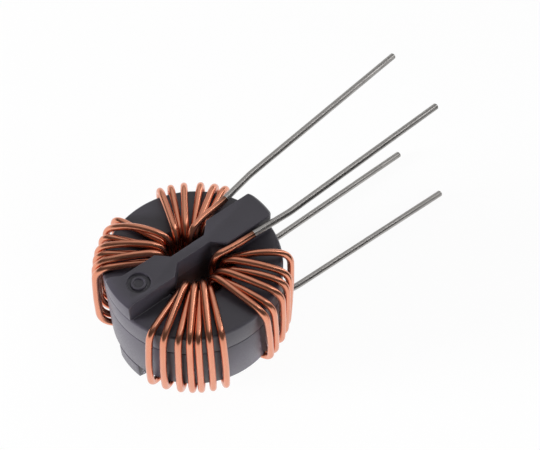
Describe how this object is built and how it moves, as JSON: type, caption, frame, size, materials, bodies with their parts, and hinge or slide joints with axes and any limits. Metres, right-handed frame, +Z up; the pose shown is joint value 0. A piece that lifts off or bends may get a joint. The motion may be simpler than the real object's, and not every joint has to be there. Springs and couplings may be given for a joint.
{
  "type": "toroidal inductor",
  "caption": "Toroidal common-mode inductor: enamelled copper windings on a ferrite ring in a black moulded case with a divider bar, with long straight tinned leads.",
  "frame": {"origin": "on the ring's axis, at the lower bar's flat face, which is the surface that the part lies on", "axes": "+Z up along the ring's axis, +X the way the leads leave, +Y towards the left winding"},
  "size_m": [0.0599, 0.0279, 0.0191],
  "materials": {
    "case_plastic": "satin black glass-filled plastic",
    "ferrite": "dull sintered ferrite",
    "enamelled_copper": "copper under clear enamel",
    "tinned_copper": "dull solder-dipped tin"
  },
  "bodies": {
    "root": {"case_lid": "case_plastic", "case_cup": "case_plastic", "ferrite_core": "ferrite", "winding_left": "enamelled_copper", "winding_right": "enamelled_copper", "tinned_lead_1": "tinned_copper", "tinned_lead_2": "tinned_copper", "tinned_lead_3": "tinned_copper", "tinned_lead_4": "tinned_copper"}
  },
  "joints": []
}
